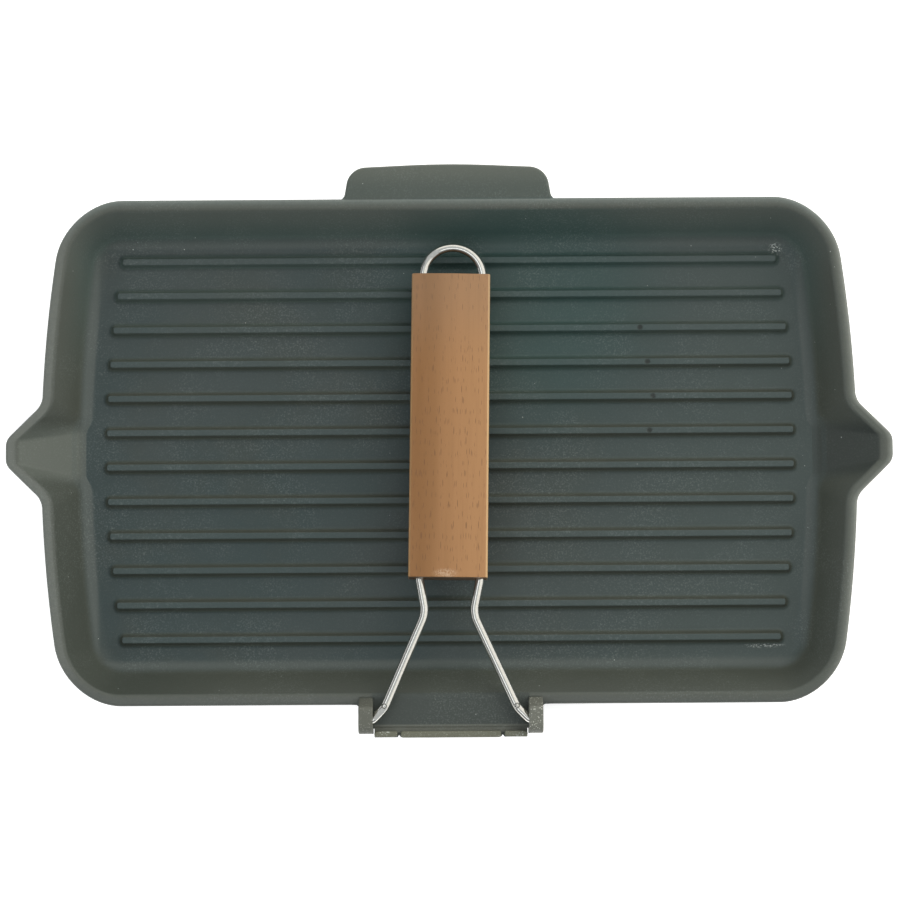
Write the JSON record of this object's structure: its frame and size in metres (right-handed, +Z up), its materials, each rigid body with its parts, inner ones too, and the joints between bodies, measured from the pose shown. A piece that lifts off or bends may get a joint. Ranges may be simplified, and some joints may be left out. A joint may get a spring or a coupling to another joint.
{
  "type": "grill pan",
  "caption": "Rectangular ribbed cast grill pan with a pour spout at each end, a helper tab and a folding wire handle with a wooden grip.",
  "frame": {"origin": "under the middle of the pan, on the plane of its flat base", "axes": "+X along the pan from spout to spout, +Y away from the hinge towards the helper tab, +Z up"},
  "size_m": [0.395, 0.2558, 0.036],
  "materials": {
    "seasoned_cast_iron": "matte",
    "bright_chrome": "polished",
    "oiled_beech": "satin"
  },
  "bodies": {
    "pan": {"pan_casting": "seasoned_cast_iron"},
    "handle": {"handle_wire": "bright_chrome", "wood_grip": "oiled_beech"}
  },
  "joints": [
    {"name": "handle_fold", "type": "hinge", "parent": "pan", "child": "handle", "pos_m": [0, -0.1193, 0.0305], "axis": [1, 0, 0], "range_deg": [0, 178]}
  ]
}
